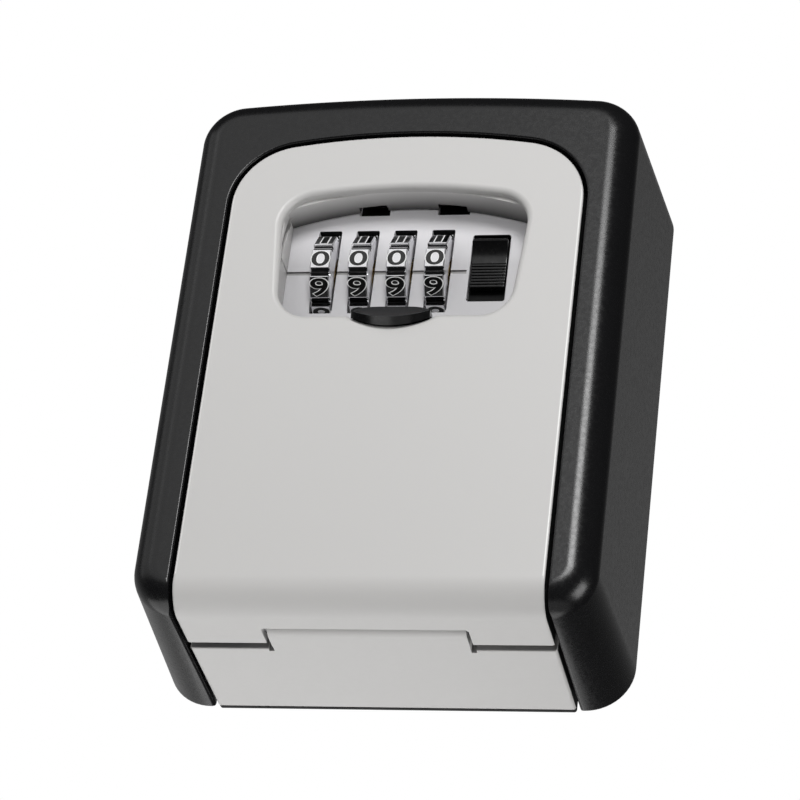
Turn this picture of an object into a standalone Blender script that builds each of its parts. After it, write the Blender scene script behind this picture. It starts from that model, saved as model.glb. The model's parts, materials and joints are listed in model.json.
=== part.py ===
"""Wall-mounted key lock box with four number dials.

Frame: metres, +Z up, the front faces -Y and X points right. The origin is the centre of the
rear face, which lies against the wall.
"""

import math

import bmesh
import bpy
from mathutils import Matrix, Vector

GAP = 0.0003  # kept between pieces that touch on the real object

# Outer shell: an arch-shaped cover, wider at the wall than at the front.
SHELL_BACK_Y = -0.0008
FRONT_Y = -0.0444
SHELL_HALF_BACK, SHELL_HALF_FRONT = 0.0475, 0.0454
SHELL_TOP_BACK, SHELL_TOP_FRONT = 0.0605, 0.0597
BOTTOM_Z = -0.0605
SHELL_CORNER_BACK, SHELL_CORNER_FRONT = 0.006, 0.0095
SHELL_FOOT = 0.0095
SHELL_ARCH = 0.45
SHELL_FILLET = 0.0055
SHELL_WALL = 0.0022
OPENING_HALF, OPENING_TOP, OPENING_CORNER = 0.0374, 0.0489, 0.0152
OPENING_WALL = 0.0020
POCKET_FRONT_Y = -0.0395
LUG_HEIGHTS = (-0.036, 0.022)
LUG_X = 0.0408
LUG_HALF = 0.0035

# Arched outline shared by the door, the tray and the shell's opening.
DOOR_HALF, DOOR_TOP, DOOR_CORNER, DOOR_ARCH = 0.0362, 0.0477, 0.014, 0.15
DOOR_BACK_Y = -0.0285
DOOR_WALL, DOOR_FRONT_WALL, DOOR_FLOOR = 0.0018, 0.0020, 0.0020
DOOR_BEND = 0.0065

# Tray behind the door.
TRAY_GROWTH = 0.0002
TRAY_FRONT_Y, TRAY_BACK_Y = -0.026, -0.0013
TRAY_WALL = 0.0025
MOUNT_HOLES = ((-0.020, 0.032), (0.020, 0.032), (-0.020, -0.040), (0.020, -0.040))
MOUNT_HOLE_RADIUS = 0.0025
GASKET_FRONT_Y, GASKET_INSET = -0.0010, 0.0001

# Hinge at the bottom edge.
BARREL = 0.003
TAB_HALF, TAB_NOTCH_HALF = 0.0196, 0.0204
TAB_NOTCH_Y = -0.0344
PIN_Y, PIN_Z, PIN_RADIUS = -0.0306, BOTTOM_Z + BARREL, 0.0015
EAR_X = (0.0212, 0.0238)

# Window in the door, the fascia behind it and the curved shutter.
WINDOW_HALF, WINDOW_TOP, WINDOW_BOTTOM = 0.0257, 0.0359, 0.0048
WINDOW_ARCH, WINDOW_CORNER = 0.080, 0.005
SCOOP_HALF, SCOOP_DEPTH = 0.0102, 0.0028
RECESS_WALL, RECESS_SIDE_WALL = 0.0015, 0.0026
FASCIA_Y, FASCIA_BACK_Y = -0.0354, -0.0339
FASCIA_HALF, FASCIA_BOTTOM, FASCIA_TOP = 0.0275, 0.0065, 0.0380
SHUTTER_Y, SHUTTER_Z, SHUTTER_RADIUS, SHUTTER_THICK = 0.01136, 0.01058, 0.0540, 0.0012
SHUTTER_HALF = 0.0270
SHUTTER_LOW, SHUTTER_HIGH = -41.9, -4.4
LIP_HALF = 0.0080

# Dials.
DIAL_X = [-0.0171 + 0.00785 * n for n in range(4)]
DIAL_Y, DIAL_Z = -0.0307, 0.0208
DIAL_RADIUS, DIAL_WIDTH, DIAL_GROOVE = 0.0098, 0.0041, 0.0006
DIAL_BORE = 0.0053
SLOT_WIDTH, SLOT_LOW, SLOT_HIGH = 0.0047, 0.0113, 0.0306
SLEEVE_RADIUS, SLEEVE_FLANGE, SLEEVE_BORE = 0.0050, 0.0029, 0.0018
SHAFT_RADIUS, SHAFT_SHIFT = 0.0015, 0.0014

# Lock frame between the fascia and the cover.
FRAME_LEFT, FRAME_SPLIT, FRAME_RIGHT = -0.0244, 0.0096, 0.0230
FRAME_LOW, FRAME_HIGH = 0.0080, 0.0375
FRAME_WALL = 0.0015
FRAME_Y = (FASCIA_BACK_Y + GAP, -0.0183)
COVER_Y = (-0.0180, -0.0165)
COVER_HALF, COVER_LOW, COVER_CORNER = 0.0330, 0.0060, 0.006
COVER_SCREWS = ((-0.0306, 0.0105), (0.0306, 0.0105), (-0.0306, 0.0330), (0.0306, 0.0330))
BOSS_RADIUS, SCREW_RADIUS, SCREW_HOLE = 0.0022, 0.0010, 0.0013

# Button, latch and code lever.
BUTTON_X = (0.01295, 0.0202)
BUTTON_Z = (0.0167, 0.0276)
BUTTON_SLOT_X = (0.0127, 0.02045)
BUTTON_SLOT_Z = (0.0134, 0.0292)
BUTTON_FACE_Y, BUTTON_LIP_Y = -0.0354, -0.0370
RIB_TOP_Z, BUTTON_RIBS = 0.0224, 8
RIB_DEPTH, LIP_EDGE = 0.0002, 0.0006
CARRIAGE_X = (0.0119, 0.0211)
SPRING_XY = (0.0165, -0.0277)
BOLT_X, BOLT_Y, BOLT_Z = (0.0132, 0.0198), (-0.0226, -0.0196), (0.0203, 0.0380)
STRIKE_X = (0.0105, 0.0215)
LEVER_X, LEVER_Z = -0.0289, DIAL_Z
CAM_LOW, CAM_THICK = 0.0024, 0.0030
HUB_RADIUS = 0.0020

GREY = (0.60, 0.59, 0.58)
MATERIALS = {
    "black_plastic": ((0.012, 0.012, 0.013), 0.38, 0.0),
    "grey_enamel": (GREY, 0.45, 0.0),
    "fascia_enamel": ((0.66, 0.65, 0.67), 0.40, 0.0),
    "black_rubber": ((0.010, 0.010, 0.010), 0.80, 0.0),
    "chrome": ((0.80, 0.80, 0.82), 0.12, 1.0),
    "steel": ((0.55, 0.55, 0.56), 0.35, 1.0),
    "spring_steel": ((0.42, 0.42, 0.44), 0.30, 1.0),
    "brass": ((0.72, 0.53, 0.24), 0.30, 1.0),
    "zinc": ((0.50, 0.50, 0.51), 0.45, 1.0),
}


# ---------------------------------------------------------------- general helpers


def make_material(name):
    colour, roughness, metallic = MATERIALS[name]
    material = bpy.data.materials.get(name) or bpy.data.materials.new(name)
    material.use_nodes = True
    shader = material.node_tree.nodes["Principled BSDF"]
    shader.inputs["Base Color"].default_value = (*colour, 1.0)
    shader.inputs["Roughness"].default_value = roughness
    shader.inputs["Metallic"].default_value = metallic
    material.diffuse_color = (*colour, 1.0)
    return material


def add_object(name, mesh_data):
    """Object from a bmesh, with its normals made consistent and pointing out."""
    bmesh.ops.recalc_face_normals(mesh_data, faces=mesh_data.faces)
    mesh = bpy.data.meshes.new(name)
    mesh_data.to_mesh(mesh)
    mesh_data.free()
    thing = bpy.data.objects.new(name, mesh)
    bpy.context.scene.collection.objects.link(thing)
    return thing


def add_part(name, mesh_data, material_name, smooth=False):
    part = add_object(name, mesh_data)
    part.data.materials.append(make_material(material_name))
    if smooth:
        part.data.shade_smooth()
        part.data.set_sharp_from_angle(angle=math.radians(35))
    return part


def combine(part, mesh_data, operation):
    """Boolean of the part with a hidden tool body."""
    tool = add_object(f"tool_{part.name}_{len(part.modifiers)}", mesh_data)
    tool.hide_render = True
    tool.display_type = "WIRE"
    modifier = part.modifiers.new(f"{operation.lower()}_{len(part.modifiers)}", "BOOLEAN")
    modifier.operation = operation
    modifier.solver = "EXACT"
    modifier.object = tool
    return tool


def cut(part, mesh_data):
    return combine(part, mesh_data, "DIFFERENCE")


def weld(part, mesh_data):
    return combine(part, mesh_data, "UNION")


def add_pivot(name, at, parent=None):
    """Empty on a joint's axis, placed by its world position."""
    pivot = bpy.data.objects.new(name, None)
    pivot.empty_display_size = 0.01
    bpy.context.scene.collection.objects.link(pivot)
    pivot["world"] = at
    pivot.parent = parent
    pivot.location = Vector(at) - (Vector(parent["world"]) if parent else Vector())
    return pivot


def ride(part, pivot):
    """Moves the part's origin onto the pivot and parents it there."""
    part.data.transform(Matrix.Translation(-Vector(pivot["world"])))
    part.parent = pivot
    return part


# ---------------------------------------------------------------- outlines and solids


def arc(cx, cy, radius, start, stop, steps):
    """Points on a circle, with angles in degrees from the first axis to the second."""
    angles = [math.radians(start + (stop - start) * n / steps) for n in range(steps + 1)]
    return [(cx + radius * math.cos(a), cy + radius * math.sin(a)) for a in angles]


def arched_outline(half, top, bottom, corner, arch, foot=0.0, corner_steps=6, arch_steps=8):
    """Outline (x, z) with an arched top edge, round top corners and, with foot, round lower ones."""
    arch_z = top - arch
    corner_x = half - corner
    corner_z = arch_z + math.sqrt((arch - corner) ** 2 - corner_x**2)
    meet = math.degrees(math.atan2(corner_z - arch_z, corner_x))
    right = [(half, bottom)]
    if foot:
        right = arc(half - foot, bottom + foot, foot, -90, 0, 5)
    right += arc(corner_x, corner_z, corner, 0, meet, corner_steps)
    crown = arc(0, arch_z, arch, meet, 180 - meet, arch_steps)[1:-1]
    return right + crown + [(-x, z) for x, z in reversed(right)]


def rounded_rectangle(x0, x1, z0, z1, radius, steps=4):
    return (
        arc(x1 - radius, z0 + radius, radius, -90, 0, steps)
        + arc(x1 - radius, z1 - radius, radius, 0, 90, steps)
        + arc(x0 + radius, z1 - radius, radius, 90, 180, steps)
        + arc(x0 + radius, z0 + radius, radius, 180, 270, steps)
    )


def loft(rings):
    """Closed solid through rings of 3-D points, with a flat face on both ends."""
    solid = bmesh.new()
    rows = [[solid.verts.new(point) for point in ring] for ring in rings]
    for near, far in zip(rows, rows[1:]):
        for n in range(len(near)):
            m = (n + 1) % len(near)
            solid.faces.new((near[n], near[m], far[m], far[n]))
    solid.faces.new(rows[0])
    solid.faces.new(rows[-1])
    return solid


def prism_y(outline, y0, y1):
    return loft([[(x, y, z) for x, z in outline] for y in (y0, y1)])


def prism_x(outline, x0, x1):
    """The outline is in (y, z)."""
    return loft([[(x, y, z) for y, z in outline] for x in (x0, x1)])


def block(x0, x1, y0, y1, z0, z1):
    return prism_y([(x0, z0), (x1, z0), (x1, z1), (x0, z1)], y0, y1)


def rod_x(y, z, radius, x0, x1, sides=24):
    return prism_x(arc(y, z, radius, 0, 360, sides)[:-1], x0, x1)


def rod_y(x, z, radius, y0, y1, sides=16):
    return prism_y(arc(x, z, radius, 0, 360, sides)[:-1], y0, y1)


def stepped_rod_y(x, z, steps_along, sides=16):
    """Turned piece along Y from (y, radius) pairs."""
    return loft([[(px, y, pz) for px, pz in arc(x, z, r, 0, 360, sides)[:-1]] for y, r in steps_along])


# ---------------------------------------------------------------- housing


def shell_ring(y, inset=0.0):
    """Outline of the shell at a depth, between its front and back sizes."""
    front = (y - SHELL_BACK_Y) / (FRONT_Y - SHELL_BACK_Y)
    half = SHELL_HALF_BACK + (SHELL_HALF_FRONT - SHELL_HALF_BACK) * front - inset
    top = SHELL_TOP_BACK + (SHELL_TOP_FRONT - SHELL_TOP_BACK) * front - inset
    corner = SHELL_CORNER_BACK + (SHELL_CORNER_FRONT - SHELL_CORNER_BACK) * front - inset
    foot = SHELL_FOOT - inset
    return [
        (x, y, z)
        for x, z in arched_outline(half, top, BOTTOM_Z + inset, corner, SHELL_ARCH, foot)
    ]


def opening_outline(growth=0.0, bottom=-0.08):
    return arched_outline(
        OPENING_HALF + growth,
        OPENING_TOP + growth,
        bottom,
        OPENING_CORNER + growth,
        DOOR_ARCH + OPENING_TOP - DOOR_TOP + growth,
    )


def make_outer_shell():
    rings = [shell_ring(SHELL_BACK_Y), shell_ring(FRONT_Y + SHELL_FILLET)]
    for angle in (22.5, 45, 67.5, 90):
        turn = math.radians(angle)
        y = FRONT_Y + SHELL_FILLET * (1 - math.sin(turn))
        rings.append([(x, y, z) for x, _, z in shell_ring(FRONT_Y, SHELL_FILLET * (1 - math.cos(turn)))])
    shell = add_part("outer_shell", loft(rings), "black_plastic", smooth=True)
    cut(shell, prism_y(opening_outline(), -0.06, 0.01))
    # Hollow behind the front, between the outer wall and the wall of the opening.
    rings = [shell_ring(POCKET_FRONT_Y, SHELL_WALL + 0.0016), shell_ring(0.002, SHELL_WALL)]
    pocket = cut(shell, loft(rings))
    cut(pocket, prism_y(opening_outline(OPENING_WALL), -0.06, 0.01))
    for side in (-1, 1):
        for height in LUG_HEIGHTS:
            x = side * LUG_X
            weld(shell, rod_y(x, height, 0.0024, POCKET_FRONT_Y - 0.001, -0.0042))
            cut(shell, rod_y(x, height, SCREW_HOLE, -0.016, 0.001, 12))
            near, far = sorted((side * 0.036, side * (LUG_X + 0.0014)))
            cut(shell, block(near, far, -0.0039, 0.001, height - LUG_HALF - GAP, height + LUG_HALF + GAP))
    return shell


def tray_outline(inset=0.0):
    growth = TRAY_GROWTH - inset
    return arched_outline(
        DOOR_HALF + growth, DOOR_TOP + growth, BOTTOM_Z + inset, DOOR_CORNER + growth, DOOR_ARCH + growth
    )


def make_body_tray():
    solid = prism_y(tray_outline(), TRAY_FRONT_Y, TRAY_BACK_Y)
    tray = add_part("body_tray", solid, "grey_enamel", smooth=True)
    cut(tray, prism_y(tray_outline(TRAY_WALL), -0.05, TRAY_BACK_Y - TRAY_WALL))
    # The tab reaches forward under the door and ends in the hinge barrel.
    weld(tray, block(-TAB_HALF, TAB_HALF, PIN_Y, TRAY_FRONT_Y + 0.001, BOTTOM_Z, BOTTOM_Z + 0.002))
    weld(tray, rod_x(PIN_Y, PIN_Z, BARREL, -TAB_HALF, TAB_HALF))
    cut(tray, rod_x(PIN_Y, PIN_Z, PIN_RADIUS + GAP, -0.03, 0.03))
    for side in (-1, 1):
        for height in LUG_HEIGHTS:
            near, far = sorted((side * 0.0355, side * (LUG_X + 0.0011)))
            weld(tray, block(near, far, -0.0036, -0.0021, height - LUG_HALF, height + LUG_HALF))
            cut(tray, rod_y(side * LUG_X, height, SCREW_HOLE, -0.01, 0.001, 12))
    for x, z in MOUNT_HOLES:
        cut(tray, rod_y(x, z, MOUNT_HOLE_RADIUS, -0.01, 0.001))
    return tray


def make_wall_gasket():
    sheet = prism_y(tray_outline(GASKET_INSET), GASKET_FRONT_Y, 0.0)
    gasket = add_part("wall_gasket", sheet, "black_rubber")
    for x, z in MOUNT_HOLES:
        cut(gasket, rod_y(x, z, MOUNT_HOLE_RADIUS + 0.0005, -0.01, 0.01))
    return gasket


def make_strike_plate():
    """Angle bracket under the tray's top: the lip stands in front of the raised bolt."""
    profile = [
        (-0.0254, 0.0389),
        (-0.0236, 0.0389),
        (-0.0236, 0.0419),
        (-0.0150, 0.0419),
        (-0.0150, 0.0434),
        (-0.0254, 0.0434),
    ]
    return add_part("strike_plate", prism_x(profile, *STRIKE_X), "zinc")


def make_hinge_pin():
    return add_part("hinge_pin", rod_x(PIN_Y, PIN_Z, PIN_RADIUS, -0.0240, 0.0240), "steel", smooth=True)


def make_screw(name, x, z, seat_y, head_radius, head_height, length):
    """Pan-head screw driven forward from the back, with a cross recess in its head."""
    steps = [
        (seat_y + head_height, head_radius * 0.8),
        (seat_y + head_height * 0.6, head_radius),
        (seat_y, head_radius),
        (seat_y, SCREW_RADIUS),
        (seat_y - length, SCREW_RADIUS * 0.8),
    ]
    screw = add_part(name, stepped_rod_y(x, z, steps), "steel", smooth=True)
    top = seat_y + head_height
    arm, width = head_radius * 0.55, 0.00025
    cut(screw, block(x - arm, x + arm, top - head_height * 0.5, top + 0.001, z - width, z + width))
    cut(screw, block(x - width, x + width, top - head_height * 0.5, top + 0.001, z - arm, z + arm))
    return screw


def make_shell_screws():
    places = [(side * LUG_X, height) for height in LUG_HEIGHTS for side in (-1, 1)]
    for n, (x, z) in enumerate(places, 1):
        make_screw(f"shell_screw_{n}", x, z, -0.0018, 0.0021, 0.0009, 0.009)


# ---------------------------------------------------------------- door


def door_profile(inset_front=0.0, inset_floor=0.0, back=DOOR_BACK_Y):
    """Side view (y, z) of the door: its front face bends back into its floor."""
    front, floor = FRONT_Y + inset_front, BOTTOM_Z + inset_floor
    bend = DOOR_BEND - max(inset_front, inset_floor)
    fold = arc(front + bend, floor + bend, bend, 180, 270, 6)
    return [(back, floor), (back, 0.06), (front, 0.06)] + fold


def door_outline(inset=0.0):
    return arched_outline(
        DOOR_HALF - inset, DOOR_TOP - inset, -0.07, DOOR_CORNER - inset, DOOR_ARCH - inset
    )


def window_outline(side_growth=0.0, top_growth=0.0, scoop=True):
    """Window with an arched top and a finger scoop in the middle of its lower edge."""
    half, radius = WINDOW_HALF + side_growth, WINDOW_CORNER + side_growth
    bottom, arch = WINDOW_BOTTOM - top_growth, WINDOW_ARCH + top_growth
    top = arched_outline(half, WINDOW_TOP + top_growth, bottom, radius, arch, foot=radius)
    if not scoop:
        return top
    dip = [
        (-SCOOP_HALF * math.cos(math.pi * n / 8), bottom - SCOOP_DEPTH * math.sin(math.pi * n / 8))
        for n in range(9)
    ]
    return top + dip


def sector(radius_in, radius_out, start, stop, half, steps=10):
    """Solid band of a cylinder about the shutter's axis, front side, angles up from level."""
    outer = arc(SHUTTER_Y, SHUTTER_Z, radius_out, 180 - start, 180 - stop, steps)
    inner = arc(SHUTTER_Y, SHUTTER_Z, radius_in, 180 - stop, 180 - start, steps)
    return prism_x(outer + inner, -half, half)


def make_door_panel():
    door = add_part("door_panel", prism_x(door_profile(), -0.05, 0.05), "grey_enamel", smooth=True)
    combine(door, prism_y(door_outline(), -0.06, 0.0), "INTERSECT")
    inside = prism_x(door_profile(DOOR_FRONT_WALL, DOOR_FLOOR, 0.0), -0.05, 0.05)
    hollow = combine(door, inside, "DIFFERENCE")
    combine(hollow, prism_y(door_outline(DOOR_WALL), -0.06, 0.01), "INTERSECT")
    # Recess wall round the window, back to just in front of the fascia.
    recess = window_outline(RECESS_SIDE_WALL, RECESS_WALL, scoop=False)
    weld(door, prism_y(recess, FRONT_Y + 0.001, FASCIA_Y - GAP))
    for side in (-1, 1):
        near, far = sorted((side * 0.0277, side * 0.0292))
        weld(door, block(near, far, FRONT_Y + 0.001, -0.0300, -0.026, 0.002))
        near, far = sorted((side * EAR_X[0], side * EAR_X[1]))
        weld(door, rod_x(PIN_Y, PIN_Z, BARREL, near, far))
    for x, z in COVER_SCREWS:
        weld(door, rod_y(x, z, BOSS_RADIUS, FRONT_Y + 0.001, COVER_Y[0] - GAP))
        cut(door, rod_y(x, z, SCREW_HOLE, -0.026, 0.0, 12))
    cut(door, prism_y(window_outline(), -0.05, -0.03))
    sweep = SHUTTER_THICK / 2 + GAP
    cut(door, sector(SHUTTER_RADIUS - sweep, SHUTTER_RADIUS + sweep, -46, 22.5, SHUTTER_HALF + GAP, 16))
    cut(door, sector(0.040, SHUTTER_RADIUS - SHUTTER_THICK / 2 - 0.0001, -46, -5, 0.0305, 10))
    for low, high in ((-0.0112, -0.0055), (0.0051, 0.0111)):
        cut(door, block(low, high, -0.0378, -0.03, 0.034, 0.0385))
    cut(door, block(-TAB_NOTCH_HALF, TAB_NOTCH_HALF, TAB_NOTCH_Y, 0.0, -0.07, -0.0535))
    cut(door, rod_x(PIN_Y, PIN_Z, PIN_RADIUS + GAP, -0.03, 0.03))
    return door


def make_dial_fascia():
    outline = rounded_rectangle(-FASCIA_HALF, FASCIA_HALF, FASCIA_BOTTOM, FASCIA_TOP, 0.002)
    fascia = add_part("dial_fascia", prism_y(outline, FASCIA_Y, FASCIA_BACK_Y), "fascia_enamel")
    for x in DIAL_X:
        slot = rounded_rectangle(x - SLOT_WIDTH / 2, x + SLOT_WIDTH / 2, SLOT_LOW, SLOT_HIGH, 0.0005, 2)
        cut(fascia, prism_y(slot, -0.04, -0.03))
    cut(fascia, prism_y(rounded_rectangle(*BUTTON_SLOT_X, *BUTTON_SLOT_Z, 0.0006, 2), -0.04, -0.03))
    return fascia


def make_lock_frame():
    y0, y1 = FRAME_Y
    frame = add_part("lock_frame", block(FRAME_LEFT, FRAME_RIGHT, y0, y1, FRAME_LOW, FRAME_HIGH), "zinc")
    inner_low, inner_high = FRAME_LOW + FRAME_WALL + 0.0001, FRAME_HIGH - FRAME_WALL
    cut(frame, block(FRAME_LEFT + FRAME_WALL, FRAME_SPLIT, -0.05, 0.0, inner_low, inner_high))
    cut(frame, block(FRAME_SPLIT + FRAME_WALL, FRAME_RIGHT - FRAME_WALL, -0.05, 0.0, inner_low, inner_high))
    cut(frame, rod_x(DIAL_Y, DIAL_Z, SHAFT_RADIUS + GAP, -0.03, FRAME_SPLIT + 0.004))
    cut(frame, block(FRAME_SPLIT - 0.001, FRAME_SPLIT + 0.003, -0.0205, 0.0, 0.0163, 0.0225))
    cut(frame, block(BOLT_X[0] - GAP, BOLT_X[1] + GAP, BOLT_Y[0] - GAP, BOLT_Y[1] + GAP, 0.034, 0.04))
    return frame


def make_mechanism_cover():
    top = FRAME_HIGH + 0.0002
    outline = rounded_rectangle(-COVER_HALF, COVER_HALF, COVER_LOW, top, COVER_CORNER)
    cover = add_part("mechanism_cover", prism_y(outline, *COVER_Y), "black_plastic")
    for x, z in COVER_SCREWS:
        cut(cover, rod_y(x, z, SCREW_HOLE, -0.03, 0.0, 12))
    cut(cover, rod_y(LEVER_X, LEVER_Z, HUB_RADIUS + GAP, -0.03, 0.0))
    return cover


def make_cover_screws():
    for n, (x, z) in enumerate(COVER_SCREWS, 1):
        make_screw(f"cover_screw_{n}", x, z, COVER_Y[1] + GAP, 0.0020, 0.0012, 0.0085)


def make_shutter_guide():
    radius = SHUTTER_RADIUS - SHUTTER_THICK / 2 - GAP
    solid = sector(radius - 0.001, radius, -43, -7, 0.0300)
    return add_part("shutter_guide", solid, "black_plastic", smooth=True)


def make_detent_comb():
    """Leaf with one finger under each dial."""
    comb = add_part("detent_comb", block(-0.0200, 0.0090, -0.0334, -0.0225, 0.0099, 0.0103), "spring_steel")
    for x in [DIAL_X[0] - 0.0039] + [x + 0.0039 for x in DIAL_X]:
        cut(comb, block(x - 0.0006, x + 0.0006, -0.0320, -0.02, 0.009, 0.012))
    return comb


def make_dial_shutter():
    """Curved plate with an arched top edge and a finger lip."""
    columns, rows = 12, 8
    inner, outer = SHUTTER_RADIUS - SHUTTER_THICK / 2, SHUTTER_RADIUS + SHUTTER_THICK / 2
    solid = bmesh.new()
    skins = []
    for radius in (inner, outer):
        skin = []
        for c in range(columns + 1):
            x = SHUTTER_HALF * (2 * c / columns - 1)
            drop = math.degrees(x * x / (2 * WINDOW_ARCH) / SHUTTER_RADIUS)
            angles = [SHUTTER_LOW + (SHUTTER_HIGH - drop - SHUTTER_LOW) * r / rows for r in range(rows + 1)]
            skin.append(
                [
                    solid.verts.new(
                        (
                            x,
                            SHUTTER_Y - radius * math.cos(math.radians(a)),
                            SHUTTER_Z + radius * math.sin(math.radians(a)),
                        )
                    )
                    for a in angles
                ]
            )
        skins.append(skin)
    for skin in skins:
        for c in range(columns):
            for r in range(rows):
                solid.faces.new((skin[c][r], skin[c + 1][r], skin[c + 1][r + 1], skin[c][r + 1]))
    edge = (
        [(c, 0) for c in range(columns)]
        + [(columns, r) for r in range(rows)]
        + [(c, rows) for c in range(columns, 0, -1)]
        + [(0, r) for r in range(rows, 0, -1)]
    )
    for (c, r), (c2, r2) in zip(edge, edge[1:] + edge[:1]):
        solid.faces.new((skins[0][c][r], skins[0][c2][r2], skins[1][c2][r2], skins[1][c][r]))
    shutter = add_part("dial_shutter", solid, "black_plastic", smooth=True)
    # The lip stands out through the scoop, highest and furthest out in the middle.
    rings = []
    for n in range(9):
        across = 2 * n / 8 - 1
        middle = 1 - across * across
        rings.append(
            [
                (LIP_HALF * across, y, z)
                for y, z in (
                    (-0.0426, 0.0050),
                    (-0.0444 - 0.0011 * middle, 0.0057),
                    (-0.0452 - 0.0018 * middle, 0.0050 - 0.0020 * middle),
                    (-0.0448 - 0.0012 * middle, 0.0042 - 0.0019 * middle),
                    (-0.0426, 0.0037 - 0.0012 * middle),
                )
            ]
        )
    weld(shutter, loft(rings))
    return shutter


# ---------------------------------------------------------------- dials


def dial_outline():
    """Ten raised pads with a shallow groove between them, the first pad facing the front."""
    points = []
    for n in range(10):
        middle = 180 + 36 * n
        points += arc(DIAL_Y, DIAL_Z, DIAL_RADIUS, middle - 13.5, middle + 13.5, 3)
        points += arc(DIAL_Y, DIAL_Z, DIAL_RADIUS - DIAL_GROOVE, middle + 15, middle + 21, 1)
    return points


def make_number_dial(n):
    x = DIAL_X[n]
    dial = add_part(
        f"number_dial_{n + 1}",
        prism_x(dial_outline(), x - DIAL_WIDTH / 2, x + DIAL_WIDTH / 2),
        "chrome",
        smooth=True,
    )
    cut(dial, rod_x(DIAL_Y, DIAL_Z, DIAL_BORE, x - 0.01, x + 0.01))
    return dial


def make_dial_sleeve(n):
    """Sleeve inside the dial, with a gated flange beside it."""
    x = DIAL_X[n]
    left = x - DIAL_WIDTH / 2 - GAP
    side = DIAL_WIDTH / 2
    profile = [
        (left - 0.0013, SLEEVE_FLANGE),
        (x - side, SLEEVE_FLANGE),
        (x - side, SLEEVE_RADIUS),
        (x + side, SLEEVE_RADIUS),
    ]
    rings = [[(px, y, z) for y, z in arc(DIAL_Y, DIAL_Z, r, 0, 360, 24)[:-1]] for px, r in profile]
    sleeve = add_part(f"dial_sleeve_{n + 1}", loft(rings), "brass", smooth=True)
    cut(sleeve, rod_x(DIAL_Y, DIAL_Z, SLEEVE_BORE, x - 0.01, x + 0.01))
    gate_y = DIAL_Y + SLEEVE_BORE + 0.0004
    gate_z = (DIAL_Z - 0.0011, DIAL_Z + 0.0011)
    cut(sleeve, block(left - 0.002, left - 0.0001, gate_y, gate_y + 0.002, *gate_z))
    return sleeve


def make_dial_shaft():
    left = LEVER_X + CAM_LOW + 0.00045
    solid = rod_x(DIAL_Y, DIAL_Z, SHAFT_RADIUS, left, FRAME_SPLIT + 0.0004)
    return add_part("dial_shaft", solid, "steel", smooth=True)


# ---------------------------------------------------------------- button, latch and lever


def make_open_button():
    """Sliding button: a thumb rest that leans out to a lip at the top, above a ribbed lower half."""
    back = FASCIA_BACK_Y + GAP
    low, high = BUTTON_Z
    rest = []
    steps = 7
    rise, lean = high - LIP_EDGE - RIB_TOP_Z, BUTTON_LIP_Y - BUTTON_FACE_Y
    for n in range(steps + 1):
        up = n / steps
        rest.append((BUTTON_FACE_Y + lean * up**2, RIB_TOP_Z + rise * up))
    ribs = []
    pitch = (RIB_TOP_Z - low) / BUTTON_RIBS
    for n in range(BUTTON_RIBS):
        foot = low + pitch * n
        ribs.append((BUTTON_FACE_Y + RIB_DEPTH, foot))
        ribs += [(BUTTON_FACE_Y, foot + pitch * share) for share in (0.3, 0.7)]
    crown = [(BUTTON_LIP_Y + LIP_EDGE, high), (back, high)]
    profile = [(back, low)] + ribs + rest + crown
    return add_part("open_button", prism_x(profile, *BUTTON_X), "black_plastic")


def make_latch_carriage():
    """Plate behind the fascia, with a shelf for the bolt's spring and cheeks beside the bolt."""
    x0, x1 = CARRIAGE_X
    front = FASCIA_BACK_Y + 2 * GAP
    plate = block(x0, x1, front, front + 0.0016, 0.0130, 0.0334)
    carriage = add_part("latch_carriage", plate, "black_plastic")
    weld(carriage, block(x0, x1, front + 0.0010, -0.0189, 0.0130, 0.0146))
    weld(carriage, block(x0, x1, front + 0.0010, -0.0245, 0.0280, 0.0296))
    for near, far in ((x0, BOLT_X[0] - GAP), (BOLT_X[1] + GAP, x1)):
        weld(carriage, block(near, far, -0.0238, -0.0189, 0.0140, 0.0300))
    spring_seat = arc(*SPRING_XY, 0.0031, 0, 360, 20)[:-1]
    cut(carriage, loft([[(x, y, z) for x, y in spring_seat] for z in (0.01, 0.016)]))
    return carriage


def make_gate_fence():
    """Bar behind the dials with a tooth for each sleeve's gate."""
    bar = block(-0.0215, CARRIAGE_X[0] - GAP, -0.0200, -0.0189, 0.0198, 0.0218)
    fence = add_part("gate_fence", bar, "zinc")
    tip_y = DIAL_Y + SLEEVE_FLANGE + 0.0004
    for x in DIAL_X:
        middle = x - DIAL_WIDTH / 2 - GAP - 0.00065
        weld(fence, block(middle - 0.0005, middle + 0.0005, tip_y, -0.0195, 0.0200, 0.0216))
    return fence


def make_latch_bolt():
    """Flat bolt with a bevelled tip that rides over the strike as the door closes."""
    y0, y1 = BOLT_Y
    z0, z1 = BOLT_Z
    profile = [(y0, z0), (y1, z0), (y1, z1 - 0.0034), (y0 + 0.0008, z1), (y0, z1)]
    return add_part("latch_bolt", prism_x(profile, *BOLT_X), "zinc")


def make_spring(name, x, y, low, high, radius, wire, turns):
    """Round coil spring with a square wire, along Z."""
    steps = turns * 10
    rings = []
    for n in range(steps + 1):
        turn = 2 * math.pi * n / 10
        z = low + wire + (high - low - 2 * wire) * n / steps
        rings.append(
            [
                (x + (radius + dr) * math.cos(turn), y + (radius + dr) * math.sin(turn), z + dz)
                for dr, dz in ((-wire, 0), (0, -wire), (wire, 0), (0, wire))
            ]
        )
    return add_part(name, loft(rings), "spring_steel", smooth=True)


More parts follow.
